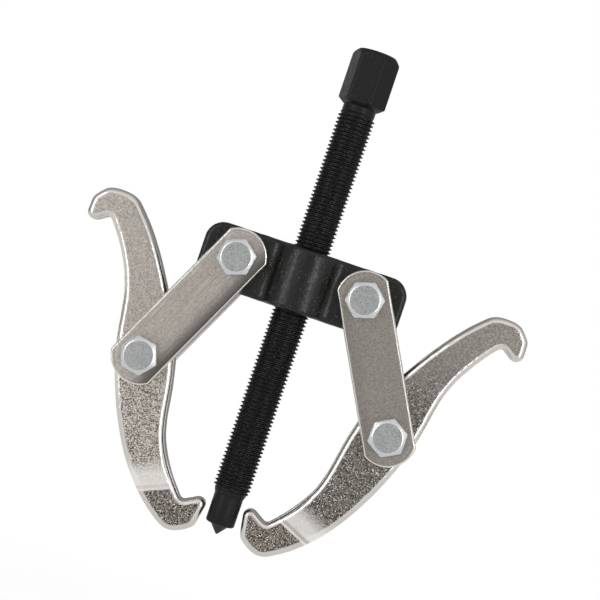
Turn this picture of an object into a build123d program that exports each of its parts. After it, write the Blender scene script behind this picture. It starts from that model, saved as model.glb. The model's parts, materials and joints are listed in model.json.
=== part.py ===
from build123d import *
import math
import os

# Two-jaw reversible gear puller. Millimetres.
# +Z runs up the forcing screw to its hexagon head, +X along the yoke, -Y is the side of the bolt heads.
# Heights are stated from the middle of the yoke; build() then puts the origin at the centre pin's tip.

# Forcing screw, M14 x 1.5 right-handed
SCREW_R = 7.0
SCREW_PITCH = 1.5
THREAD_DEPTH = 0.92
THREAD_TOP_Z = 65.2
THREAD_BOTTOM_Z = -82.2
THREAD_CREST = 0.125  # share of one pitch that is flat at the crest
THREAD_ROOT = 0.25  # share of one pitch that is flat at the root
THREAD_CLEARANCE = 0.06  # the yoke's bore is plain, just clear of the thread's crest
NECK_R = 6.25
HEAD_FLATS = 16.0
HEAD_BOTTOM_Z = 67.8
HEAD_TOP_Z = 88.9
HEAD_TOP_R = 7.0
HEAD_BOTTOM_R = 6.6
HEAD_TOP_CHAMFER = 2.4
HEAD_BOTTOM_CHAMFER = 1.6
HEAD_TURN = 5.8  # degrees the front flat is turned towards -X
TIP_R = 5.5
TIP_BOTTOM_Z = -95.0
TIP_CHAMFER = 0.6
TIP_TAPER = 1.6

# Centre pin, a hardened point that turns in the end of the screw
POINT_R = 3.4
POINT_Z = -98.8
POINT_NOSE_R = 0.35
PIN_R = 2.5
PIN_LENGTH = 9.0
PIN_CLEARANCE = 0.05

# Yoke
YOKE_HALF_LENGTH = 39.0
YOKE_HALF_HEIGHT = 11.9
YOKE_THICKNESS = 10.6
YOKE_CORNER_R = 7.0
YOKE_BOSS_R = 12.5
YOKE_BLEND_R = 5.0
YOKE_EDGE_R = 1.8
YOKE_PIVOT_X = 24.7
YOKE_PIVOT_Z = 0.7

# Links, four flat straps
LINK_PIVOTS = 50.6
LINK_WIDTH = 19.2
LINK_END_R = 11.1
LINK_THICKNESS = 3.1
LINK_EDGE_R = 0.9
LINK_GAP = 10.8  # between the inner faces of a pair
LEFT_LINK_ANGLE = 26.2  # degrees outwards from straight down
RIGHT_LINK_ANGLE = 28.0

# Pivot bolts and lock nuts, M8
BOLT_R = 4.0
HOLE_CLEARANCE = 0.05
HEX_FLATS = 13.0
BOLT_HEAD_HEIGHT = 5.3
BOLT_HEAD_DISC_R = 5.5
NUT_HEX_HEIGHT = 6.0
NUT_COLLAR_HEIGHT = 2.0
NUT_COLLAR_R = 5.6
INSERT_R = 5.0
INSERT_HEIGHT = 1.7
BOLT_END = 1.4  # how far the bolt stands out of its nut
BOLT_END_CHAMFER = 0.7

# Turn of each bolt's hexagon, degrees from +X, seen from the heads' side
BOLT_TURN = {"left_yoke": 18.7, "left_jaw": 48.7, "right_yoke": 16.0, "right_jaw": 28.4}

# Jaws, forged. Points are in the jaw's own plane: origin at its pivot, x towards the screw, z up
JAW_THICKNESS = 10.4
JAW_EDGE_R = 2.3
JAW_CORNER_R = 1.6
LEFT_JAW_TURN = 1.4  # degrees each jaw is swung outwards from its drawn position
RIGHT_JAW_TURN = -0.4
CLAW_TIP = (38.3, -44.7)  # centre of the big claw's round tip
CLAW_TIP_R = 2.7
CLAW_CORNER_X = 31.9
CLAW_SLOPE = 30.0  # degrees the big claw's gripping face rises towards its tip
SMALL_CLAW_TIP = (-34.8, 44.0)
SMALL_CLAW_TIP_R = 2.8
SMALL_CLAW_CORNER_X = -29.1
SMALL_CLAW_SLOPE = 35.0
HEEL = (25.5, -55.6)  # where the outer edge turns into the big claw
CROWN = (-20.4, 52.7)  # where the inner edge turns into the small claw
OUTER_EDGE = [(-20.4, 33.1), (-14.5, 20.0), (-11.6, 5.0), (-4.8, -16.25), (5.4, -35.5), (17.1, -49.4)]
INNER_EDGE = [(24.6, -36.9), (18.35, -26.25), (14.9, -11.25), (10.2, 7.0), (0.5, 25.6), (-14.15, 46.25)]
CLAW_BACK = [(31.5, -57.4), (38.2, -54.2)]
SMALL_CLAW_BACK = [(-28.5, 55.0), (-33.3, 53.8), (-36.6, 50.4)]

# The big claw is forged thinner than the jaw's body: a ramp leads down to it on both faces
CLAW_STEP = 1.1
CLAW_RAMP = 15.0
CLAW_RAMP_START = (11.5, -33.5)
CLAW_RAMP_ANGLE = -66.0  # degrees from +x, the way the ramp falls
CLAW_REACH = 60.0  # more than the length of the claw beyond the ramp's start


def moved_to(point, angle=0.0):
    """A place in the plane of motion, turned by angle degrees about +Y."""
    return Location((point[0], 0, point[1])) * Rotation(0, angle, 0)


def on_circle(centre, radius, angle):
    """The point at an angle in degrees on a circle in a plane."""
    angle = math.radians(angle)
    return (centre[0] + radius * math.cos(angle), centre[1] + radius * math.sin(angle))


def hexagon_prism(flats, height, turn=0.0):
    corner_r = flats / math.sqrt(3)
    return extrude(RegularPolygon(corner_r, 6, rotation=turn), height)


def ring_profile(points):
    """A solid of revolution about Z from (radius, height) points."""
    face = make_face(Polyline([(r, 0, z) for r, z in points], close=True))
    return revolve(face, Axis.Z)


def thread_profile(radius, bottom_z, top_z):
    """The outline of a thread from bottom_z up to top_z, one ridge to each pitch, as (radius, z) points."""
    root_r = radius - THREAD_DEPTH
    flank = SCREW_PITCH * (1 - THREAD_CREST - THREAD_ROOT) / 2
    crest = SCREW_PITCH * THREAD_CREST
    ridges = int((top_z - bottom_z) / SCREW_PITCH)
    points = []
    for i in range(ridges):
        z = bottom_z + i * SCREW_PITCH
        points += [(root_r, z), (radius, z + flank), (radius, z + flank + crest), (root_r, z + 2 * flank + crest)]
    return points + [(root_r, top_z)]


def screw_head():
    height = HEAD_TOP_Z - HEAD_BOTTOM_Z
    corner_r = HEAD_FLATS / math.sqrt(3)
    turned = ring_profile(
        [
            (0, 0),
            (HEAD_BOTTOM_R, 0),
            (corner_r, HEAD_BOTTOM_CHAMFER),
            (corner_r, height - HEAD_TOP_CHAMFER),
            (HEAD_TOP_R, height),
            (0, height),
        ]
    )
    head = hexagon_prism(HEAD_FLATS, height, turn=-HEAD_TURN) & turned
    return head.moved(Location((0, 0, HEAD_BOTTOM_Z)))


def forcing_screw():
    thread = thread_profile(SCREW_R, THREAD_BOTTOM_Z, THREAD_TOP_Z)
    rod = ring_profile(
        [
            (0, TIP_BOTTOM_Z),
            (TIP_R - TIP_CHAMFER, TIP_BOTTOM_Z),
            (TIP_R, TIP_BOTTOM_Z + TIP_CHAMFER),
            (TIP_R, THREAD_BOTTOM_Z - TIP_TAPER),
            *thread,
            (NECK_R, THREAD_TOP_Z),
            (NECK_R, HEAD_BOTTOM_Z),
            (0, HEAD_BOTTOM_Z),
        ]
    )
    pin_hole = extrude(Circle(PIN_R + PIN_CLEARANCE), PIN_LENGTH + PIN_CLEARANCE)
    return rod + screw_head() - Pos(0, 0, TIP_BOTTOM_Z) * pin_hole


def centre_pin():
    shoulder_z = TIP_BOTTOM_Z - PIN_CLEARANCE
    pin = ring_profile(
        [
            (0, TIP_BOTTOM_Z + PIN_LENGTH),
            (PIN_R, TIP_BOTTOM_Z + PIN_LENGTH),
            (PIN_R, shoulder_z),
            (POINT_R, shoulder_z),
            (POINT_NOSE_R, POINT_Z),
            (0, POINT_Z),
        ]
    )
    return pin


def yoke():
    half = YOKE_THICKNESS / 2
    # the blend arc runs from its foot on the bar's flat side to where it touches the boss
    blend_y = half + YOKE_BLEND_R
    blend_x = math.sqrt((YOKE_BOSS_R + YOKE_BLEND_R) ** 2 - blend_y**2)
    boss_angle = math.degrees(math.atan2(blend_y, blend_x))
    foot = (blend_x, half)
    mid = on_circle((blend_x, blend_y), YOKE_BLEND_R, (270 + 180 + boss_angle) / 2)
    touch = on_circle((0, 0), YOKE_BOSS_R, boss_angle)
    side = [
        Line((YOKE_HALF_LENGTH, half), foot),
        ThreePointArc(foot, mid, touch),
        ThreePointArc(touch, (0, YOKE_BOSS_R), (-touch[0], touch[1])),
        ThreePointArc((-touch[0], touch[1]), (-mid[0], mid[1]), (-foot[0], half)),
        Line((-foot[0], half), (-YOKE_HALF_LENGTH, half)),
    ]
    other_side = [edge.mirror(Plane.XZ) for edge in side]
    ends = [
        Line((x, -half), (x, half)) for x in (-YOKE_HALF_LENGTH, YOKE_HALF_LENGTH)
    ]
    plan = make_face(side + other_side + ends)
    body = extrude(plan, YOKE_HALF_HEIGHT, both=True)
    front = RectangleRounded(2 * YOKE_HALF_LENGTH, 2 * YOKE_HALF_HEIGHT, YOKE_CORNER_R)
    body = body & extrude(Plane.XZ * front, YOKE_BOSS_R + 1, both=True)
    rim = [
        edge
        for edge in body.edges()
        if abs(abs(edge.center().Z) - YOKE_HALF_HEIGHT) < 0.01 or abs(edge.center().X) > blend_x + 12
    ]
    body = fillet(rim, YOKE_EDGE_R)
    for side_x in (-YOKE_PIVOT_X, YOKE_PIVOT_X):
        hole = Cylinder(BOLT_R + HOLE_CLEARANCE, 4 * half, rotation=(90, 0, 0))
        body = body - Pos(side_x, 0, YOKE_PIVOT_Z) * hole
    return body - Cylinder(SCREW_R + THREAD_CLEARANCE, 4 * YOKE_HALF_HEIGHT)


def link():
    """One strap hanging straight down from its yoke pivot at the origin, its middle plane at Y 0."""
    half = LINK_WIDTH / 2
    shoulder = math.sqrt(LINK_END_R**2 - half**2)
    foot = -LINK_PIVOTS - shoulder
    outline = [
        Line((half, foot), (half, shoulder)),
        ThreePointArc((half, shoulder), (0, LINK_END_R), (-half, shoulder)),
        Line((-half, shoulder), (-half, foot)),
        ThreePointArc((-half, foot), (0, -LINK_PIVOTS - LINK_END_R), (half, foot)),
    ]
    strap = extrude(Plane.XZ * make_face(outline), LINK_THICKNESS / 2, both=True)
    rims = strap.faces().filter_by(Axis.Y).edges()
    strap = fillet(rims, LINK_EDGE_R)
    for pivot_z in (0, -LINK_PIVOTS):
        hole = Cylinder(BOLT_R + HOLE_CLEARANCE, 2 * LINK_THICKNESS, rotation=(90, 0, 0))
        strap = strap - Pos(0, 0, pivot_z) * hole
    return strap


def tip_arc(centre, radius, start, end):
    """The round end of a claw, between two angles in degrees."""
    angles = (start, (start + end) / 2, end)
    return ThreePointArc([on_circle(centre, radius, angle) for angle in angles])


def corner_below(tip_end, corner_x, slope):
    """Where the straight gripping face from tip_end meets the jaw's edge."""
    return (corner_x, tip_end[1] + (corner_x - tip_end[0]) * math.tan(math.radians(slope)))


def jaw_outline():
    """The jaw at its parting plane, with both claws' inside corners rounded."""
    claw_start = -10
    claw_tip = tip_arc(CLAW_TIP, CLAW_TIP_R, claw_start, 90 + CLAW_SLOPE)
    claw_corner = corner_below(tuple(claw_tip @ 1)[:2], CLAW_CORNER_X, CLAW_SLOPE)
    small_tip = tip_arc(SMALL_CLAW_TIP, SMALL_CLAW_TIP_R, 180, 270 + SMALL_CLAW_SLOPE)
    small_corner = corner_below(tuple(small_tip @ 1)[:2], SMALL_CLAW_CORNER_X, SMALL_CLAW_SLOPE)
    outer = Spline([small_corner, *OUTER_EDGE, HEEL])
    inner = Spline([claw_corner, *INNER_EDGE, CROWN])
    claw_back = Spline([HEEL, *CLAW_BACK, claw_tip @ 0], tangents=[outer % 1, claw_tip % 0])
    small_back = Spline([CROWN, *SMALL_CLAW_BACK, small_tip @ 0], tangents=[inner % 1, small_tip % 0])
    face = make_face(
        [
            outer,
            claw_back,
            claw_tip,
            Line(claw_tip @ 1, claw_corner),
            inner,
            small_back,
            small_tip,
            Line(small_tip @ 1, small_corner),
        ]
    )
    corners = [
        vertex
        for vertex in face.vertices()
        for x, y in (claw_corner, small_corner)
        if math.hypot(vertex.X - x, vertex.Y - y) < 0.01
    ]
    return fillet(corners, JAW_CORNER_R)


def claw_relief(side):
    """What the forging leaves away over one face of the big claw, side -1 in front and 1 behind."""
    angle = math.radians(CLAW_RAMP_ANGLE)
    along = Vector(math.cos(angle), 0, math.sin(angle))
    # the profile's own x runs towards the claw and its y runs out of the jaw's face
    plane = Plane(
        origin=(CLAW_RAMP_START[0], side * JAW_THICKNESS / 2, CLAW_RAMP_START[1]),
        x_dir=along,
        z_dir=along.cross(Vector(0, side, 0)),
    )
    above = 3
    profile = Polyline(
        [(0, 0), (CLAW_RAMP, -CLAW_STEP), (CLAW_REACH, -CLAW_STEP), (CLAW_REACH, above), (0, above)],
        close=True,
    )
    return extrude(plane * make_face(profile), CLAW_REACH, both=True)


def is_wall(face):
    """Whether a face stands square to the jaw's front and back."""
    return abs(face.normal_at(face.center()).Y) < 0.05


def jaw():
    """The left jaw, its pivot at the origin and its parting plane at Y 0."""
    body = extrude(Plane.XZ * jaw_outline(), JAW_THICKNESS / 2, both=True)
    body = body - claw_relief(-1) - claw_relief(1)
    rims = [
        edge
        for wall in body.faces().filter_by(is_wall)
        for edge in wall.edges()
        if abs((edge @ 0).Y - (edge @ 1).Y) < CLAW_STEP + 0.1
    ]
    body = fillet(rims, JAW_EDGE_R)
    hole = Cylinder(BOLT_R + HOLE_CLEARANCE, 2 * JAW_THICKNESS, rotation=(90, 0, 0))
    return body - hole


def bolt(turn):
    """A pivot bolt along Y, centred on the link pair, its head towards -Y."""
    seat = LINK_GAP / 2 + LINK_THICKNESS
    shank_length = 2 * seat + NUT_HEX_HEIGHT + NUT_COLLAR_HEIGHT + BOLT_END
    corner_r = HEX_FLATS / math.sqrt(3)
    turned = ring_profile(
        [
            (0, 0),
            (corner_r, 0),
            (corner_r, BOLT_HEAD_HEIGHT - 1.1),
            (BOLT_HEAD_DISC_R, BOLT_HEAD_HEIGHT),
            (0, BOLT_HEAD_HEIGHT),
        ]
    )
    head = hexagon_prism(HEX_FLATS, BOLT_HEAD_HEIGHT, turn) & turned
    shank = ring_profile(
        [
            (0, 0),
            (BOLT_R, 0),
            (BOLT_R, BOLT_END_CHAMFER - shank_length),
            (BOLT_R - BOLT_END_CHAMFER, -shank_length),
            (0, -shank_length),
        ]
    )
    return Pos(0, -seat, 0) * Rotation(90, 0, 0) * (head + shank)


def nut(turn):
    """The hexagon and collar of a lock nut on the far side of the links, hollow for its insert."""
    seat = LINK_GAP / 2 + LINK_THICKNESS
    corner_r = HEX_FLATS / math.sqrt(3)
    height = NUT_HEX_HEIGHT + NUT_COLLAR_HEIGHT
    turned = ring_profile(
        [
            (0, 0),
            (HEX_FLATS / 2 - 0.2, 0),
            (corner_r, 0.6),
            (corner_r, NUT_HEX_HEIGHT - 0.9),
            (HEX_FLATS / 2 - 0.3, NUT_HEX_HEIGHT),
            (NUT_COLLAR_R, NUT_HEX_HEIGHT + 0.1),
            (NUT_COLLAR_R, height - 0.8),
            (NUT_COLLAR_R - 0.8, height),
            (0, height),
        ]
    )
    body = hexagon_prism(HEX_FLATS, height, turn) & turned
    bore = extrude(Circle(BOLT_R + HOLE_CLEARANCE), height)
    pocket = Pos(0, 0, height - INSERT_HEIGHT - 0.1) * extrude(Circle(INSERT_R), INSERT_HEIGHT + 1)
    return Pos(0, seat, 0) * Rotation(-90, 0, 0) * (body - bore - pocket)


def nut_insert():
    """The nylon ring that grips the bolt's thread, sitting in the nut's collar."""
    seat = LINK_GAP / 2 + LINK_THICKNESS
    height = NUT_HEX_HEIGHT + NUT_COLLAR_HEIGHT
    ring = extrude(Circle(INSERT_R - 0.02) - Circle(BOLT_R + 0.02), INSERT_HEIGHT)
    return Pos(0, seat, 0) * Rotation(-90, 0, 0) * Pos(0, 0, height - INSERT_HEIGHT - 0.1) * ring


def lower_pivot(side, link_angle):
    """Where a jaw's pivot is before the origin is moved, side -1 on the left and 1 on the right."""
    angle = math.radians(link_angle)
    return (
        side * (YOKE_PIVOT_X + LINK_PIVOTS * math.sin(angle)),
        YOKE_PIVOT_Z - LINK_PIVOTS * math.cos(angle),
    )


def build():
    parts = {
        "yoke": yoke(),
        "forcing_screw": forcing_screw(),
        "centre_pin": centre_pin(),
    }
    strap = link()
    left_jaw = jaw()
    strap_y = (LINK_GAP + LINK_THICKNESS) / 2
    sides = (
        ("left", -1, LEFT_LINK_ANGLE, LEFT_JAW_TURN),
        ("right", 1, RIGHT_LINK_ANGLE, RIGHT_JAW_TURN),
    )
    for name, side, link_angle, jaw_turn in sides:
        yoke_pivot = (side * YOKE_PIVOT_X, YOKE_PIVOT_Z)
        jaw_pivot = lower_pivot(side, link_angle)
        placed_strap = moved_to(yoke_pivot, -side * link_angle) * strap
        parts[f"{name}_front_link"] = Pos(0, -strap_y, 0) * placed_strap
        parts[f"{name}_rear_link"] = Pos(0, strap_y, 0) * placed_strap
        own_jaw = left_jaw if side < 0 else left_jaw.mirror(Plane.YZ)
        parts[f"{name}_jaw"] = moved_to(jaw_pivot, -side * jaw_turn) * own_jaw
        for place, pivot in (("yoke", yoke_pivot), ("jaw", jaw_pivot)):
            turn = BOLT_TURN[f"{name}_{place}"]
            parts[f"{name}_{place}_bolt"] = moved_to(pivot) * bolt(turn)
            parts[f"{name}_{place}_nut"] = moved_to(pivot) * nut(turn + 17)
            parts[f"{name}_{place}_nut_insert"] = moved_to(pivot) * nut_insert()
    return {node: Pos(0, 0, -POINT_Z) * shape for node, shape in parts.items()}


os.makedirs("parts", exist_ok=True)
for node, shape in build().items():
    export_step(shape, f"parts/{node}.step")
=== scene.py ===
import json
import math

import bmesh
import bpy
from mathutils import Matrix, Vector, noise


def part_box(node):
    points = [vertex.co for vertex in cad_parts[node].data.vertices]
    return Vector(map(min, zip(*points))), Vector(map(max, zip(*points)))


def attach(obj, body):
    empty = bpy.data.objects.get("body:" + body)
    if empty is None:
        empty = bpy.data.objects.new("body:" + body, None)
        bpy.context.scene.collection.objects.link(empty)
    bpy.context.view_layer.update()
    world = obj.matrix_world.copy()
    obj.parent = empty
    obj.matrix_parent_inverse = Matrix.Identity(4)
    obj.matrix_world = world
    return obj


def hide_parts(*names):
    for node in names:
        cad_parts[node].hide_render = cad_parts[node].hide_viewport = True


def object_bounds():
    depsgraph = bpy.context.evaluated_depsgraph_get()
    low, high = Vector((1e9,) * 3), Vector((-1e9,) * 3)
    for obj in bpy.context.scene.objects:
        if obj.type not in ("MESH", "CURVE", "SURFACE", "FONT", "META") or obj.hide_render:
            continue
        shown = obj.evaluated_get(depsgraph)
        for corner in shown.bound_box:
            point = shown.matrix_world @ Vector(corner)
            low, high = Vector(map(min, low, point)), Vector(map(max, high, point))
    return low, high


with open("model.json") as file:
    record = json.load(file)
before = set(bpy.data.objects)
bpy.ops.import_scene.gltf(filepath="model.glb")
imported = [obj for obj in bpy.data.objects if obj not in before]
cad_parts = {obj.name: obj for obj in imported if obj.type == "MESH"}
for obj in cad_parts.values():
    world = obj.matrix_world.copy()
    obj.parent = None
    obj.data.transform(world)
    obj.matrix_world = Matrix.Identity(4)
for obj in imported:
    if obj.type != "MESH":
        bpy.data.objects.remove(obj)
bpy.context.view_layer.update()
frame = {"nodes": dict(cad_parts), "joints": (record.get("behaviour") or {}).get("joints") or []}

MM = 0.001
NODES = frame["nodes"]
JOINTS = {joint["name"]: joint for joint in frame["joints"]}
SIDES = {"left": -1, "right": 1}

# Lengths are millimetres. Heights of the screw and yoke are from the middle of the yoke.
YOKE_LOW, YOKE_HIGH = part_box("yoke")
YOKE_MIDDLE_Z = (YOKE_LOW.z + YOKE_HIGH.z) / 2 / MM
YOKE_HALF_HEIGHT = (YOKE_HIGH.z - YOKE_LOW.z) / 2 / MM

# Forcing screw, M14 x 1.5
SCREW_PITCH = 1.5
THREAD_R = 7.0
THREAD_DEPTH = 0.92
THREAD_BOTTOM_Z = -82.2
THREAD_TOP_Z = 65.2
NECK_R = 6.25
HEAD_FLATS = 16.0
HEAD_BOTTOM_Z = 67.8
HEAD_TOP_Z = 88.9
HEAD_TURN = -5.8
TIP_R = 5.5
TIP_BOTTOM_Z = -95.0

# Pivot bolts and lock nuts, M8
BOLT_R = 4.0
BOLT_PITCH = 1.25
BOLT_THREAD_DEPTH = 0.72
HEX_FLATS = 13.0
BOLT_HEAD_HEIGHT = 5.3
BOLT_DISC_R = 5.5
BOLT_SEAT_Y = 8.5
BOLT_LENGTH = 26.4
NUT_HEX_HEIGHT = 6.0
NUT_HEIGHT = 8.0
NUT_COLLAR_R = 5.6
NUT_BORE_R = 4.06
INSERT_R = 4.98
INSERT_HEIGHT = 1.7
BOLT_TURN = {"left_yoke": 18.7, "left_jaw": 48.7, "right_yoke": 16.0, "right_jaw": 28.4}
NUT_TURN = 17

# Jaws: where the ramp down to the big claw starts, in the jaw's own plane
RAMP_START = (11.5, -33.5)
RAMP_ANGLE = -66.0
RAMP_LENGTH = 15.0
RAMP_DEPTH = 1.1
JAW_TURN = {"left": 1.4, "right": -0.4}

# Machined surroundings that stay as sharp as the CAD has them: distances from their axes
AROUND_JAW_BOLT = 6.5
AROUND_YOKE_BOLT = 6.0
AROUND_BORE = 8.6

# Each side's nickel: the first two values dim its fine and coarse grain, painted shade that darkens the right
# jaw; the last is the strength of a painted shade band across the ramp. The lower arm is coarse below
# coarse_from and fully so at coarse_to, in metres.
JAW_LOOK = {
    "left": {"fine": 0.97, "rough": 0.92, "coarse_from": 0.085, "coarse_to": 0.045, "painted_ramp_shade": 0.3},
    "right": {"fine": 0.7, "rough": 0.42, "coarse_from": 0.105, "coarse_to": 0.06, "painted_ramp_shade": 0.7},
}
# Each side's strap: the first value dims it as painted shade, darker on the right; the last is the strength
# of a painted shadow along its inner edge.
STRAP_LOOK = {
    "left": {"painted_shade": 1.0, "brushed": 0.45, "grained": 0.5, "scratched": 0.6, "shadow": 0.92},
    "right": {"painted_shade": 0.7, "brushed": 0.08, "grained": 0.8, "scratched": 0.0, "shadow": 0.2},
}

# Softboxes: degrees round from the front towards +X, and watts
SOFTBOXES = ((-42, 2.4), (38, 2.8), (142, 0.5), (-138, 0.65))


# ---------------------------------------------------------------- mesh helpers


def linked(name, mesh):
    obj = bpy.data.objects.new(name, mesh)
    bpy.context.scene.collection.objects.link(obj)
    return obj


def mesh_object(name, verts, faces, smooth_angle=40):
    """A new piece from vertices in millimetres, welded, with its normals outwards."""
    mesh = bpy.data.meshes.new(name)
    mesh.from_pydata([tuple(c * MM for c in v) for v in verts], [], faces)
    bm = bmesh.new()
    bm.from_mesh(mesh)
    bmesh.ops.remove_doubles(bm, verts=bm.verts, dist=1e-7)
    bmesh.ops.dissolve_degenerate(bm, edges=bm.edges, dist=1e-7)
    bmesh.ops.recalc_face_normals(bm, faces=bm.faces)
    bm.to_mesh(mesh)
    bm.free()
    mesh.shade_smooth()
    mesh.set_sharp_from_angle(angle=math.radians(smooth_angle))
    return linked(name, mesh)


def sector_angles(per_side, turn):
    """Angles round a hexagonal piece, closer together at its six corners, starting just past zero."""
    angles = []
    for side in range(6):
        for i in range(per_side):
            share = i / per_side
            eased = 0.5 - 0.5 * math.cos(math.pi * share)
            angles.append(math.radians(turn + 60 * (side + 0.4 * share + 0.6 * eased)) % math.tau)
    return sorted(angles)


def hexagon_radius(angle, flats, turn, sharpness=52):
    """Distance from the axis to a hexagon with slightly rounded corners, one corner at turn degrees."""
    total = 0.0
    for side in range(6):
        facing = math.cos(angle - math.radians(turn + 30 + 60 * side))
        if facing > 0:
            total += (facing / (flats / 2)) ** sharpness
    return total ** (-1 / sharpness)


class Turned:
    """A piece built up ring by ring along its own axis, with hexagonal, round and threaded stretches."""

    def __init__(self, angles):
        self.angles = angles
        self.rings = []
        self.seam = []

    def ring(self, radius_of, z):
        self.seam.append(len(self.rings))
        radii = [radius_of(a) for a in self.angles]
        self.rings.append([(r * math.cos(a), r * math.sin(a), z) for r, a in zip(radii, self.angles)])

    def round(self, *profile):
        """Plain rings from (radius, z) points."""
        for r, z in profile:
            self.ring(lambda a: r, z)

    def hexagon(self, flats, turn, *profile):
        """Hexagonal rings from (largest radius, z) points, so a small radius gives a chamfer."""
        for limit, z in profile:
            self.ring(lambda a: min(hexagon_radius(a, flats, turn), limit), z)

    def thread(self, radius, depth, pitch, bottom_z, top_z, fade=0.7):
        """A right-handed thread. Each ring is one line of its profile; its last point joins the next turn."""
        profile = ((0.0, 0.0), (0.1, 0.06), (0.32, 0.86), (0.38, 1.0), (0.46, 1.0), (0.52, 0.86),
                   (0.74, 0.06))
        turns = int((top_z - bottom_z) / pitch) + 3
        first = len(self.rings)
        last = first + turns * len(profile) - 1
        for turn in range(-1, turns - 1):
            for share, height in profile:
                points = []
                for a in self.angles:
                    z = bottom_z + pitch * (turn + share + a / math.tau)
                    inside = min(z - bottom_z, top_z - z) / (fade * pitch)
                    r = radius - depth + depth * height * min(max(inside, 0.0), 1.0)
                    points.append((r * math.cos(a), r * math.sin(a), min(max(z, bottom_z), top_z)))
                self.seam.append(min(len(self.rings) + len(profile), last))
                self.rings.append(points)

    def skin(self, close_ends=True):
        """Vertices and faces of the whole piece."""
        count = len(self.angles)
        verts = [v for r in self.rings for v in r]
        faces = []
        for k in range(len(self.rings) - 1):
            low, high = k * count, (k + 1) * count
            for i in range(count - 1):
                faces.append((low + i, low + i + 1, high + i + 1, high + i))
            corner = (low + count - 1, self.seam[k] * count, self.seam[k + 1] * count, high + count - 1)
            faces.append(tuple(dict.fromkeys(corner)))
        if close_ends:
            faces.append(tuple(reversed(range(count))))
            faces.append(tuple(range(len(verts) - count, len(verts))))
        return verts, faces


def along_y(verts, pivot, seat_y, direction):
    """Lays a piece built along Z along Y at a pivot. Direction -1 points it to the bolt heads' side."""
    px, pz = pivot
    if direction < 0:
        return [(px + x, seat_y - z, pz + y) for x, y, z in verts]
    return [(px + x, seat_y + z, pz - y) for x, y, z in verts]


# ---------------------------------------------------------------- turned pieces


def forcing_screw():
    angles = sector_angles(16, HEAD_TURN)
    screw = Turned(angles)
    tip = TIP_BOTTOM_Z
    screw.round((0.02, tip), (2.4, tip), (4.7, tip), (4.95, tip + 0.06))
    screw.round((5.42, tip + 0.5), (TIP_R, tip + 0.72))
    screw.round((TIP_R, -88.0), (TIP_R, THREAD_BOTTOM_Z - 1.7), (TIP_R + 0.1, THREAD_BOTTOM_Z - 1.55))
    screw.round((THREAD_R - THREAD_DEPTH, THREAD_BOTTOM_Z - 0.1))
    screw.thread(THREAD_R, THREAD_DEPTH, SCREW_PITCH, THREAD_BOTTOM_Z, THREAD_TOP_Z)
    screw.round((NECK_R - 0.08, THREAD_TOP_Z + 0.1), (NECK_R, THREAD_TOP_Z + 0.25))
    screw.round((NECK_R, HEAD_BOTTOM_Z - 0.35), (NECK_R + 0.12, HEAD_BOTTOM_Z - 0.1), (6.4, HEAD_BOTTOM_Z))
    lower = ((6.7, 0.04), (7.0, 0.2), (7.6, 0.68), (8.2, 1.12), (8.8, 1.45), (9.4, 1.75),
             (12, 2.2), (12, 6.0), (12, 11.0))
    screw.hexagon(HEAD_FLATS, HEAD_TURN, *[(r, HEAD_BOTTOM_Z + dz) for r, dz in lower])
    upper = ((12, 5.0), (9.4, 2.8), (8.9, 2.1), (8.5, 1.6), (8.1, 1.15), (7.7, 0.7),
             (7.35, 0.32), (7.0, 0.08), (6.6, 0.0))
    screw.hexagon(HEAD_FLATS, HEAD_TURN, *[(r, HEAD_TOP_Z - dz) for r, dz in upper])
    screw.round((4.0, HEAD_TOP_Z), (1.5, HEAD_TOP_Z), (0.02, HEAD_TOP_Z))
    verts, faces = screw.skin()
    return mesh_object("screw_with_thread", [(x, y, z + YOKE_MIDDLE_Z) for x, y, z in verts], faces, 30)


def centre_pin():
    """The hardened point, with fine turning steps on its cone."""
    low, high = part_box("centre_pin")
    top, bottom = high.z / MM, low.z / MM
    shoulder = (TIP_BOTTOM_Z - 0.05) + YOKE_MIDDLE_Z
    pin = Turned([math.tau * i / 72 for i in range(72)])
    pin.round((0.02, bottom), (0.2, bottom + 0.03), (0.36, bottom + 0.12))
    steps = 9
    for i in range(1, steps + 1):
        z = bottom + 0.12 + (shoulder - 0.25 - bottom - 0.12) * i / steps
        r = 0.36 + (3.3 - 0.36) * i / steps
        pin.round((r - 0.03, z - 0.06), (r, z))
    pin.round((3.4, shoulder - 0.1), (3.4, shoulder), (2.5, shoulder))
    pin.round((2.5, top - 0.3), (2.2, top), (0.02, top))
    verts, faces = pin.skin()
    return mesh_object("point_with_turned_cone", verts, faces, 30)


def pivot_bolt(name, pivot):
    turn = BOLT_TURN[name]
    bolt = Turned(sector_angles(14, turn))
    bolt.round((0.02, -BOLT_LENGTH), (2.0, -BOLT_LENGTH), (3.2, -BOLT_LENGTH), (3.3, -BOLT_LENGTH + 0.06))
    bolt.thread(BOLT_R, BOLT_THREAD_DEPTH, BOLT_PITCH, -BOLT_LENGTH + 0.1, -BOLT_LENGTH + 9.6, 1.1)
    bolt.round((BOLT_R, -BOLT_LENGTH + 9.9), (BOLT_R, -8.0), (BOLT_R, -0.2), (BOLT_R + 0.1, 0.0))
    flange = ((5.9, 0.0), (6.1, 0.03), (6.2, 0.12), (6.45, 0.16), (6.9, 0.25), (7.3, 0.45),
              (8.5, 0.7), (8.5, 2.4))
    bolt.hexagon(HEX_FLATS, turn, *flange)
    height = BOLT_HEAD_HEIGHT
    chamfer = ((8.5, 1.3), (7.5, 1.16), (7.2, 1.0), (6.9, 0.84), (6.6, 0.66), (6.3, 0.48),
               (6.0, 0.31), (5.7, 0.13))
    bolt.hexagon(HEX_FLATS, turn, *[(r, height - dz) for r, dz in chamfer])
    bolt.round((BOLT_DISC_R, height - 0.03), (BOLT_DISC_R - 0.2, height))
    bolt.round((4.0, height - 0.02), (2.0, height - 0.03), (0.02, height - 0.03))
    verts, faces = bolt.skin()
    return mesh_object(f"{name}_hex_bolt", along_y(verts, pivot, -BOLT_SEAT_Y, -1), faces, 30)


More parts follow.
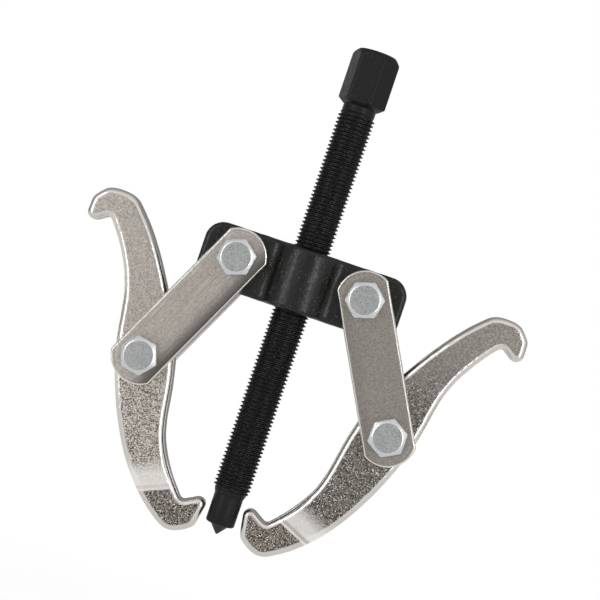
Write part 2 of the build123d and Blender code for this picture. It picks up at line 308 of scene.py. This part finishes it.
def lock_nut(name, pivot):
    """A hexagon with a round collar, hollow right through."""
    turn = BOLT_TURN[name] + NUT_TURN
    nut = Turned(sector_angles(14, turn))
    nut.round((NUT_BORE_R, NUT_HEIGHT - INSERT_HEIGHT - 0.15), (NUT_BORE_R, 0.4), (NUT_BORE_R + 0.35, 0.0))
    chamfer = ((6.25, 0.0), (6.5, 0.08), (6.9, 0.24), (7.3, 0.45), (8.5, 0.7), (8.5, 3.0),
               (8.5, NUT_HEX_HEIGHT - 1.1))
    nut.hexagon(HEX_FLATS, turn, *chamfer)
    top = ((7.4, 0.85), (7.1, 0.62), (6.8, 0.42), (6.5, 0.24), (6.2, 0.1), (6.0, 0.03))
    nut.hexagon(HEX_FLATS, turn, *[(r, NUT_HEX_HEIGHT - dz) for r, dz in top])
    rim = NUT_HEIGHT
    nut.round((NUT_COLLAR_R, NUT_HEX_HEIGHT + 0.08), (NUT_COLLAR_R, rim - 0.85))
    nut.round((NUT_COLLAR_R - 0.08, rim - 0.5), (NUT_COLLAR_R - 0.28, rim - 0.2))
    nut.round((5.15, rim - 0.03), (5.02, rim), (4.99, rim - 0.12))
    nut.round((4.99, rim - INSERT_HEIGHT - 0.15), (NUT_BORE_R, rim - INSERT_HEIGHT - 0.15))
    verts, faces = nut.skin(close_ends=False)
    return mesh_object(f"{name}_lock_nut", along_y(verts, pivot, BOLT_SEAT_Y, 1), faces, 30)


def nylon_ring(name, pivot):
    """The ring in the nut's collar, pressed to the bolt's thread."""
    ring = Turned([math.tau * i / 72 for i in range(72)])
    low, high, inner = NUT_HEIGHT - INSERT_HEIGHT - 0.1, NUT_HEIGHT - 0.1, BOLT_R + 0.03
    ring.round((inner, low), (inner, high - 0.15), (inner + 0.2, high), (INSERT_R - 0.05, high))
    ring.round((INSERT_R, high - 0.08), (INSERT_R, low), (inner, low))
    verts, faces = ring.skin(close_ends=False)
    return mesh_object(f"{name}_nylon_ring", along_y(verts, pivot, BOLT_SEAT_Y, 1), faces, 30)


# ---------------------------------------------------------------- forged pieces


def soft_copy(node, name, voxel, passes, keep):
    """The CAD piece as a fine even mesh with its creases softened; keep says which points must stay."""
    start = linked(name + "_start", NODES[node].data.copy())
    modifier = start.modifiers.new("even", "REMESH")
    modifier.mode = "VOXEL"
    modifier.voxel_size = voxel * MM
    modifier.use_smooth_shade = True
    bpy.context.view_layer.update()
    mesh = bpy.data.meshes.new_from_object(start.evaluated_get(bpy.context.evaluated_depsgraph_get()))
    bpy.data.objects.remove(start)
    bm = bmesh.new()
    bm.from_mesh(mesh)
    free = [v for v in bm.verts if not keep(v.co / MM)]
    for _ in range(passes):
        bmesh.ops.smooth_vert(bm, verts=free, factor=0.5, use_axis_x=True, use_axis_y=True, use_axis_z=True)
    bm.normal_update()
    return bm, mesh


def settled(bm, mesh, name):
    bm.to_mesh(mesh)
    bm.free()
    mesh.name = name
    mesh.shade_smooth()
    return linked(name, mesh)


def ease(t):
    t = min(max(t, 0.0), 1.0)
    return t * t * (3 - 2 * t)


def jaw(side):
    """A forged jaw: softened creases, a ramp that steepens to the big claw, waviness and a parting line."""
    sign = SIDES[side]
    pivot = Vector(JOINTS[f"{side}_jaw_swing"]["pos_m"]) / MM
    turn = math.radians(JAW_TURN[side])
    along = Vector((math.cos(math.radians(RAMP_ANGLE)), math.sin(math.radians(RAMP_ANGLE))))
    start = along.dot(Vector(RAMP_START))

    def in_jaw(p):
        x, z = -sign * (p.x - pivot.x), p.z - pivot.z
        return Vector((x * math.cos(turn) - z * math.sin(turn), z * math.cos(turn) + x * math.sin(turn)))

    def kept(p):
        return in_jaw(p).length < AROUND_JAW_BOLT

    bm, mesh = soft_copy(f"{side}_jaw", f"{side}_forged_jaw", voxel=0.3, passes=7, keep=kept)
    for vert in bm.verts:
        p = vert.co / MM
        if kept(p):
            continue
        normal = vert.normal.copy()
        t = along.dot(in_jaw(p)) - start
        flat = ease((abs(normal.y) - 0.8) / 0.18)
        fallen = min(max(t / RAMP_LENGTH, 0.0), 1.0)
        drop = RAMP_DEPTH * (fallen ** 2 - fallen)
        wave = 0.05 * noise.noise(p / 5.0) + 0.03 * noise.noise(p / 1.7)
        shift = normal * wave - Vector((0, flat * drop * math.copysign(1, normal.y), 0))
        wall = ease((0.5 - abs(normal.y)) / 0.3)
        shift += normal * 0.09 * wall * math.exp(-((p.y / 0.3) ** 2))
        vert.co += shift * MM
    return settled(bm, mesh, f"{side}_forged_jaw")


def yoke():
    """The yoke as forged: soft edges, an uneven skin and a countersink at each mouth of the threaded bore."""
    pivots = [Vector(JOINTS[f"{side}_link_swing"]["pos_m"]) / MM for side in SIDES]

    def kept(p):
        near_bolt = min(math.hypot(p.x - q.x, p.z - q.z) for q in pivots) < AROUND_YOKE_BOLT
        return near_bolt or math.hypot(p.x, p.y) < AROUND_BORE

    bm, mesh = soft_copy("yoke", "forged_yoke", voxel=0.32, passes=8, keep=kept)
    for vert in bm.verts:
        p = vert.co / MM
        height = p.z - YOKE_MIDDLE_Z
        from_axis = math.hypot(p.x, p.y)
        mouth = YOKE_HALF_HEIGHT - 0.9 * max(0.0, 8.3 - from_axis)
        if abs(height) > mouth:
            vert.co.z = (YOKE_MIDDLE_Z + math.copysign(mouth, height)) * MM
        if not kept(p):
            wave = 0.10 * noise.noise(p / 4.0) + 0.05 * noise.noise(p / 1.3)
            vert.co += vert.normal * wave * MM
    return settled(bm, mesh, "forged_yoke")


# ---------------------------------------------------------------- materials


class Look:
    """A node material being built: most calls add one node and return its output."""

    def __init__(self, name):
        self.material = bpy.data.materials.new(name)
        self.material.use_nodes = True
        self.nodes = self.material.node_tree.nodes
        self.links = self.material.node_tree.links
        self.shader = self.nodes["Principled BSDF"]
        self.coords = self.nodes.new("ShaderNodeTexCoord").outputs["Object"]
        self.geometry = self.nodes.new("ShaderNodeNewGeometry")

    def feed(self, socket, value):
        if isinstance(value, bpy.types.NodeSocket):
            self.links.new(value, socket)
        else:
            socket.default_value = value

    def noise(self, size, detail=4, rough=0.55, vector=None, distortion=0.0):
        """Smooth noise whose features are about size millimetres across."""
        node = self.nodes.new("ShaderNodeTexNoise")
        self.feed(node.inputs["Vector"], vector or self.coords)
        node.inputs["Scale"].default_value = 1 / (size * MM)
        node.inputs["Detail"].default_value = detail
        node.inputs["Roughness"].default_value = rough
        node.inputs["Distortion"].default_value = distortion
        return node.outputs["Fac"]

    def cells(self, size, vector=None):
        """One random grey to each cell about size millimetres across."""
        node = self.nodes.new("ShaderNodeTexVoronoi")
        self.feed(node.inputs["Vector"], vector or self.coords)
        node.inputs["Scale"].default_value = 1 / (size * MM)
        split = self.nodes.new("ShaderNodeSeparateColor")
        self.links.new(node.outputs["Color"], split.inputs[0])
        return split.outputs[0]

    def ramp(self, value, low, high, to_low=0.0, to_high=1.0):
        node = self.nodes.new("ShaderNodeMapRange")
        node.interpolation_type = "SMOOTHSTEP"
        for name, v in (("Value", value), ("From Min", low), ("From Max", high)):
            self.feed(node.inputs[name], v)
        self.feed(node.inputs["To Min"], to_low)
        self.feed(node.inputs["To Max"], to_high)
        return node.outputs[0]

    def math(self, operation, a, b=0.0):
        node = self.nodes.new("ShaderNodeMath")
        node.operation = operation
        self.feed(node.inputs[0], a)
        self.feed(node.inputs[1], b)
        return node.outputs[0]

    def mix(self, share, a, b):
        """A colour mix."""
        node = self.nodes.new("ShaderNodeMix")
        node.data_type = "RGBA"
        self.feed(node.inputs[0], share)
        self.feed(node.inputs[6], a)
        self.feed(node.inputs[7], b)
        return node.outputs[2]

    def blend(self, share, a, b):
        """A mix of two numbers."""
        node = self.nodes.new("ShaderNodeMix")
        self.feed(node.inputs[0], share)
        self.feed(node.inputs[2], a)
        self.feed(node.inputs[3], b)
        return node.outputs[0]

    def bump(self, height, distance, strength=1.0):
        node = self.nodes.new("ShaderNodeBump")
        self.feed(node.inputs["Height"], height)
        node.inputs["Distance"].default_value = distance * MM
        node.inputs["Strength"].default_value = strength
        return node.outputs[0]

    def xyz(self, vector):
        node = self.nodes.new("ShaderNodeSeparateXYZ")
        self.feed(node.inputs[0], vector)
        return node.outputs

    def vector(self, x, y, z):
        node = self.nodes.new("ShaderNodeCombineXYZ")
        for socket, value in zip(node.inputs, (x, y, z)):
            self.feed(socket, value)
        return node.outputs[0]

    def facing_front(self, low, high):
        """0 where the surface leans away from the front and back, 1 where it lies flat to them."""
        y = self.xyz(self.geometry.outputs["Normal"])["Y"]
        return self.ramp(self.math("ABSOLUTE", y), low, high)

    def edge(self, low=0.52, high=0.6):
        """1 on the convex edges that handling rubs bright."""
        return self.ramp(self.geometry.outputs["Pointiness"], low, high)

    def finish(self, colour, metallic, roughness, normal=None, **extra):
        self.feed(self.shader.inputs["Base Color"], colour)
        self.feed(self.shader.inputs["Metallic"], metallic)
        self.feed(self.shader.inputs["Roughness"], roughness)
        if normal:
            self.feed(self.shader.inputs["Normal"], normal)
        for name, value in extra.items():
            self.feed(self.shader.inputs[name.replace("_", " ")], value)
        return self.material


def dimmed(colour, amount):
    return tuple(channel * amount for channel in colour) + (1,)


def black_oxide_forging():
    look = Look("black_oxide_forging")
    grain = look.noise(0.7, 5, 0.65)
    patches = look.noise(9, 3)
    worn = look.math("MULTIPLY", look.edge(0.505, 0.55), look.ramp(look.noise(1.2, 4), 0.5, 0.72))
    chips = look.ramp(look.cells(0.32), 0.985, 0.99)
    colour = look.mix(patches, (0.0034, 0.0031, 0.0028, 1), (0.007, 0.0065, 0.006, 1))
    colour = look.mix(worn, colour, (0.05, 0.048, 0.045, 1))
    colour = look.mix(look.math("MULTIPLY", chips, 0.5), colour, (0.16, 0.155, 0.15, 1))
    roughness = look.ramp(grain, 0.3, 0.7, 0.23, 0.4)
    return look.finish(colour, 0.0, roughness, look.bump(grain, 0.06, 0.6), Specular_IOR_Level=0.33)


def black_oxide_screw():
    look = Look("black_oxide_screw")
    grain = look.noise(0.4, 4)
    x, y, z = look.xyz(look.coords)
    scuffs = look.noise(1.1, 3, vector=look.vector(x, y, look.math("MULTIPLY", z, 0.3)))
    # Lighter edges and thread crests: rubbed wear that also serves as painted glints along the crests.
    worn = look.math("MULTIPLY", look.edge(0.53, 0.62), look.ramp(look.noise(0.9, 4), 0.5, 0.75))
    chips = look.math("MULTIPLY", look.ramp(look.cells(0.4), 0.8, 0.9), look.edge(0.54, 0.6))
    # Sparse bright specks all over the screw: painted glints.
    painted_glints = look.math("MULTIPLY", look.ramp(look.cells(0.26), 0.988, 0.992), 0.06)
    colour = look.mix(scuffs, (0.003, 0.0032, 0.0028, 1), (0.007, 0.0074, 0.0065, 1))
    colour = look.mix(worn, colour, (0.12, 0.118, 0.11, 1))
    chips_and_painted_glints = look.math("MAXIMUM", look.math("MULTIPLY", chips, 0.4), painted_glints)
    colour = look.mix(chips_and_painted_glints, colour, (0.5, 0.49, 0.46, 1))
    roughness = look.ramp(scuffs, 0.3, 0.7, 0.34, 0.5)
    return look.finish(colour, 0.0, roughness, look.bump(grain, 0.03, 0.5), Specular_IOR_Level=0.21)


def hardened_steel():
    look = Look("hardened_steel")
    x, y, z = look.xyz(look.coords)
    rings = look.vector(look.math("MULTIPLY", x, 0.05), look.math("MULTIPLY", y, 0.05), z)
    turning = look.noise(0.3, 2, vector=rings)
    colour = look.mix(turning, (0.015, 0.015, 0.016, 1), (0.06, 0.06, 0.06, 1))
    return look.finish(colour, 0.8, look.ramp(turning, 0.3, 0.7, 0.22, 0.4), look.bump(turning, 0.02, 0.4))


def blasted_nickel(side):
    """Nickel plate over a forging: flats full of tiny facets, coarse on the lower arm, dark on the claw."""
    look = Look(f"blasted_nickel_{side}")
    own = JAW_LOOK[side]
    pivot = Vector(JOINTS[f"{side}_jaw_swing"]["pos_m"])
    fall = math.radians(RAMP_ANGLE - JAW_TURN[side])
    x, _, z = look.xyz(look.coords)
    across = look.math("MULTIPLY", look.math("SUBTRACT", x, pivot.x), -SIDES[side] * math.cos(fall))
    down = look.math("MULTIPLY", look.math("SUBTRACT", z, pivot.z), math.sin(fall))
    slope = math.radians(RAMP_ANGLE)
    start = math.cos(slope) * RAMP_START[0] + math.sin(slope) * RAMP_START[1]
    fallen = look.math("SUBTRACT", look.math("ADD", across, down), start * MM)
    claw = look.ramp(fallen, (RAMP_LENGTH - 0.5) * MM, (RAMP_LENGTH + 0.2) * MM)
    ramp = look.math("SUBTRACT", look.ramp(fallen, 0.1 * RAMP_LENGTH * MM, 0.6 * RAMP_LENGTH * MM), claw)
    coarse = look.ramp(z, own["coarse_from"], own["coarse_to"])
    flat = look.facing_front(0.985, 0.9965)
    blasted = look.math("MULTIPLY", flat, look.math("SUBTRACT", 1.0, look.math("MULTIPLY", ramp, 0.8)))
    grit = look.math("ADD", look.math("MULTIPLY", look.noise(0.36, 4, 0.75), 0.5),
                     look.math("MULTIPLY", look.cells(0.3), 0.5))
    shade = look.blend(coarse, look.ramp(look.cells(0.34), 0.1, 0.9), look.ramp(grit, 0.4, 0.62))
    # Both grains dimmed per side: painted shade, darker on the right jaw.
    fine, rough = own["fine"], own["rough"]
    dark = look.mix(coarse, dimmed((0.33, 0.303, 0.272), fine), dimmed((0.13, 0.114, 0.1), rough))
    light = look.mix(coarse, dimmed((0.55, 0.51, 0.465), fine), dimmed((0.72, 0.665, 0.6), rough))
    dark = look.mix(claw, dark, (0.05, 0.043, 0.036, 1))
    light = look.mix(claw, light, (0.33, 0.295, 0.255, 1))
    patches = look.noise(8, 3)
    smooth_nickel_and_painted_light = look.mix(patches, (0.62, 0.59, 0.55, 1), (0.74, 0.71, 0.67, 1))
    # The ramp is painted brighter than the rest of the smooth nickel: a painted highlight.
    smooth_nickel_and_painted_light = look.mix(ramp, smooth_nickel_and_painted_light, (0.92, 0.89, 0.85, 1))
    # A painted shade band across the ramp near the claw, stronger on the right jaw.
    ramp_shade_starts, ramp_shade_ends = look.ramp(fallen, 12.2 * MM, 13.2 * MM), look.ramp(fallen, 13.6 * MM, 14.4 * MM)
    painted_ramp_shade = look.math("MULTIPLY", look.math("SUBTRACT", ramp_shade_starts, ramp_shade_ends), own["painted_ramp_shade"])
    smooth_nickel_and_painted_light = look.mix(painted_ramp_shade, smooth_nickel_and_painted_light, (0.42, 0.4, 0.37, 1))
    colour = look.mix(blasted, smooth_nickel_and_painted_light, look.mix(shade, dark, light))
    facets = look.ramp(look.cells(0.24), 0.94, 0.96)
    glint = look.math("MULTIPLY", facets, look.math("MULTIPLY", blasted, coarse))
    colour = look.mix(glint, colour, (0.98, 0.95, 0.91, 1))
    roughness = look.blend(blasted, 0.2, look.ramp(grit, 0.35, 0.65, 0.42, 0.28))
    depth = look.blend(blasted, 0.08, look.blend(coarse, 0.45, 1.0))
    return look.finish(colour, 1.0, roughness, look.bump(look.math("MULTIPLY", grit, depth), 0.1, 0.8))


def satin_nickel(side):
    """Satin nickel strap: brush lines, edges that roll off slightly, a painted shadow on one edge."""
    look = Look(f"satin_nickel_{side}")
    own = STRAP_LOOK[side]
    top = Vector(JOINTS[f"{side}_link_swing"]["pos_m"])
    low = Vector(JOINTS[f"{side}_jaw_swing"]["pos_m"])
    length = (low - top).length
    down = (low - top) / length
    x, y, z = look.xyz(look.coords)
    px, pz = look.math("SUBTRACT", x, top.x), look.math("SUBTRACT", z, top.z)
    along = look.math("ADD", look.math("MULTIPLY", px, down.x), look.math("MULTIPLY", pz, down.z))
    across = look.math("SUBTRACT", look.math("MULTIPLY", px, -down.z), look.math("MULTIPLY", pz, -down.x))
    beyond = look.math("SUBTRACT", along, look.math("MINIMUM", look.math("MAXIMUM", along, 0.0), length))
    reach = look.math("SQRT", look.math("ADD", look.math("POWER", look.math("ABSOLUTE", beyond), 2.0),
                                        look.math("POWER", look.math("ABSOLUTE", across), 2.0)))
    rolled = look.ramp(reach, 0.0082, 0.0098)
    inner = 1 if side == "left" else -1
    shadow = look.ramp(look.math("MULTIPLY", across, inner), 0.0025, 0.0096)
    lines = look.noise(0.3, 3, 0.6, vector=look.vector(across, y, look.math("MULTIPLY", along, 0.03)))
    deep = look.noise(0.55, 2, 0.5, vector=look.vector(across, y, look.math("MULTIPLY", along, 0.045)))
    scratches = look.math("MULTIPLY", look.ramp(deep, 0.66, 0.72), own["scratched"])
    mottle = look.noise(0.62, 5, 0.85)
    patches = look.noise(10, 3)
    # The strap's nickel dimmed per side: painted shade.
    painted_shade = own["painted_shade"]
    colour = look.mix(patches, dimmed((0.50, 0.462, 0.42), painted_shade), dimmed((0.60, 0.558, 0.51), painted_shade))
    colour = look.mix(look.ramp(lines, 0.4, 0.65, 0.0, own["brushed"]), colour, (0.30, 0.275, 0.25, 1))
    colour = look.mix(look.ramp(mottle, 0.45, 0.56, 0.0, own["grained"]), colour, (0.24, 0.215, 0.19, 1))
    colour = look.mix(scratches, colour, (0.70, 0.67, 0.63, 1))
    colour = look.mix(look.math("MULTIPLY", shadow, own["shadow"]), colour, (0.08, 0.07, 0.06, 1))
    flat = look.facing_front(0.9, 0.985)
    colour = look.mix(flat, (0.82, 0.79, 0.75, 1), colour)
    roughness = look.blend(flat, 0.16, look.blend(lines, 0.26, 0.42))
    height = look.math("ADD", look.math("MULTIPLY", lines, 0.5), look.math("MULTIPLY", mottle, 0.5))
    height = look.math("SUBTRACT", look.math("MULTIPLY", height, 0.05), look.math("MULTIPLY", rolled, 0.12))
    return look.finish(colour, 1.0, roughness, look.bump(height, 1.0, 0.8))


def zinc_plate():
    look = Look("zinc_plate")
    flat = look.facing_front(0.96, 0.995)
    mottle = look.noise(0.4, 5, 0.7, distortion=0.6)
    fine = look.noise(0.22, 3)
    marks = look.math("MULTIPLY", look.ramp(look.noise(0.6, 5, 0.8), 0.62, 0.66), flat)
    colour = look.mix(look.ramp(mottle, 0.35, 0.65), (0.27, 0.278, 0.28, 1), (0.48, 0.488, 0.49, 1))
    colour = look.mix(flat, (0.64, 0.652, 0.66, 1), colour)
    colour = look.mix(marks, colour, (0.72, 0.74, 0.75, 1))
    roughness = look.blend(flat, 0.3, look.ramp(mottle, 0.3, 0.7, 0.34, 0.5))
    height = look.math("ADD", look.math("MULTIPLY", mottle, 0.7), look.math("MULTIPLY", fine, 0.3))
    return look.finish(colour, 1.0, roughness, look.bump(height, 0.05, 0.5))


def nylon():
    look = Look("nylon")
    mottle = look.noise(0.8, 3)
    colour = look.mix(mottle, (0.05, 0.12, 0.34, 1), (0.09, 0.19, 0.46, 1))
    return look.finish(colour, 0.0, look.ramp(mottle, 0.3, 0.7, 0.35, 0.5), look.bump(mottle, 0.03, 0.4))


# ---------------------------------------------------------------- stage, light and camera


def studio_floor():
    """A pale round floor that runs out to plain white, below the lowest point the screw's tip can reach."""
    low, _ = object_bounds()
    size, count, drop = 0.6, 96, 0.058
    turns = [math.tau * i / count for i in range(count)]
    verts = [(size * math.cos(turn), size * math.sin(turn), low.z - drop) for turn in turns]
    mesh = bpy.data.meshes.new("floor")
    mesh.from_pydata(verts, [], [tuple(range(count))])
    floor = linked("floor", mesh)
    look = Look("pale_floor")
    distance = look.nodes.new("ShaderNodeVectorMath")
    distance.operation = "LENGTH"
    look.feed(distance.inputs[0], look.coords)
    edge = look.ramp(distance.outputs["Value"], 0.14, 0.5)
    glow = look.nodes.new("ShaderNodeEmission")
    path = look.nodes.new("ShaderNodeLightPath")
    look.feed(glow.inputs["Strength"], look.blend(path.outputs["Is Camera Ray"], 0.85, 1.06))
    diffuse = look.nodes.new("ShaderNodeBsdfDiffuse")
    diffuse.inputs["Color"].default_value = (0.9, 0.9, 0.9, 1)
    mixer = look.nodes.new("ShaderNodeMixShader")
    look.feed(mixer.inputs[0], look.blend(edge, 0.84, 1.0))
    look.links.new(diffuse.outputs[0], mixer.inputs[1])
    look.links.new(glow.outputs[0], mixer.inputs[2])
    look.links.new(mixer.outputs[0], look.nodes["Material Output"].inputs["Surface"])
    mesh.materials.append(look.material)


def studio_world():
    """A light tent: brightest in a ring round the camera's dark opening, dimmer beside and behind the tool.

    The camera itself sees plain white.
    """
    world = bpy.data.worlds.new("light_tent")
    bpy.context.scene.world = world
    world.use_nodes = True
    nodes, links = world.node_tree.nodes, world.node_tree.links
    coords = nodes.new("ShaderNodeTexCoord")
    opening = nodes.new("ShaderNodeVectorMath")
    opening.operation = "DOT_PRODUCT"
    links.new(coords.outputs["Camera"], opening.inputs[0])
    opening.inputs[1].default_value = Vector((0.2, -0.02, -1)).normalized()
    shade = nodes.new("ShaderNodeValToRGB")
    spread = nodes.new("ShaderNodeMapRange")
    spread.inputs["From Min"].default_value = -1
    links.new(opening.outputs["Value"], spread.inputs["Value"])
    links.new(spread.outputs[0], shade.inputs[0])
    stops = ((180, 0.22), (140, 0.3), (100, 0.42), (70, 0.75), (45, 1.0), (25, 1.0), (14, 0.18), (0, 0.09))
    for degrees, grey in stops:
        place = (math.cos(math.radians(degrees)) + 1) / 2
        stop = shade.color_ramp.elements.new(place)
        stop.color = (grey, grey, grey, 1)
    shade.color_ramp.elements.remove(shade.color_ramp.elements[0])
    shade.color_ramp.elements.remove(shade.color_ramp.elements[-1])
    path = nodes.new("ShaderNodeLightPath")
    pick = nodes.new("ShaderNodeMix")
    pick.data_type = "RGBA"
    links.new(path.outputs["Is Camera Ray"], pick.inputs[0])
    links.new(shade.outputs[0], pick.inputs[6])
    pick.inputs[7].default_value = (1, 1, 1, 1)
    links.new(pick.outputs[2], nodes["Background"].inputs["Color"])


def strip_light(name, azimuth, power):
    """A tall narrow softbox, azimuth degrees round from the front towards +X."""
    angle, distance = math.radians(azimuth), 0.9
    light = bpy.data.lights.new(name, "AREA")
    light.shape = "RECTANGLE"
    light.size, light.size_y = 0.1, 0.9
    light.energy = power
    obj = linked(name, light)
    place = Vector((math.sin(angle), -math.cos(angle), 0)) * distance
    obj.location = place + Vector((0, 0, YOKE_MIDDLE_Z * MM))
    obj.rotation_mode = "QUATERNION"
    obj.rotation_quaternion = (-place).to_track_quat("-Z", "Y")
    obj.visible_camera = False


def camera():
    """Nearly square on to the front, a little from the right, rolled so that the screw leans to the right."""
    target = Vector((0.0017, 0, YOKE_MIDDLE_Z * MM - 0.00675))
    distance = 0.67
    yaw, roll = math.radians(3.0), math.radians(18.67)
    data = bpy.data.cameras.new("camera")
    data.lens = 108.5
    data.sensor_width = 36
    obj = linked("camera", data)
    right = Vector((math.cos(yaw), math.sin(yaw), 0))
    back = Vector((math.sin(yaw), -math.cos(yaw), 0))
    up = Vector((0, 0, 1))
    leaning_right = math.cos(roll) * right + math.sin(roll) * up
    leaning_up = math.cos(roll) * up - math.sin(roll) * right
    matrix = Matrix((leaning_right, leaning_up, back)).transposed().to_4x4()
    matrix.translation = target + back * distance
    obj.matrix_world = matrix
    bpy.context.scene.camera = obj


# ---------------------------------------------------------------- putting it together


def paint(obj, material):
    obj.data.materials.clear()
    obj.data.materials.append(material)


def stand_in(obj, node, body, material):
    """A new piece takes the place of a CAD node and on its body."""
    paint(obj, material)
    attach(obj, body)
    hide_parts(node)


def assemble():
    zinc, plastic = zinc_plate(), nylon()
    stand_in(forcing_screw(), "forcing_screw", "screw", black_oxide_screw())
    stand_in(centre_pin(), "centre_pin", "centre_point", hardened_steel())
    stand_in(yoke(), "yoke", "yoke", black_oxide_forging())
    for side in SIDES:
        stand_in(jaw(side), f"{side}_jaw", f"{side}_jaw", blasted_nickel(side))
        strap = satin_nickel(side)
        for end in ("front", "rear"):
            paint(NODES[f"{side}_{end}_link"], strap)
        for place, joint in (("yoke", "link_swing"), ("jaw", "jaw_swing")):
            name = f"{side}_{place}"
            pos = Vector(JOINTS[f"{side}_{joint}"]["pos_m"]) / MM
            pivot = (pos.x, pos.z)
            body = f"{side}_links"
            stand_in(pivot_bolt(name, pivot), f"{name}_bolt", body, zinc)
            stand_in(lock_nut(name, pivot), f"{name}_nut", body, zinc)
            stand_in(nylon_ring(name, pivot), f"{name}_nut_insert", body, plastic)


assemble()
studio_floor()
studio_world()
for number, (azimuth, power) in enumerate(SOFTBOXES):
    strip_light(f"softbox_{number}", azimuth, power)
camera()
bpy.context.scene.view_settings.view_transform = "Standard"
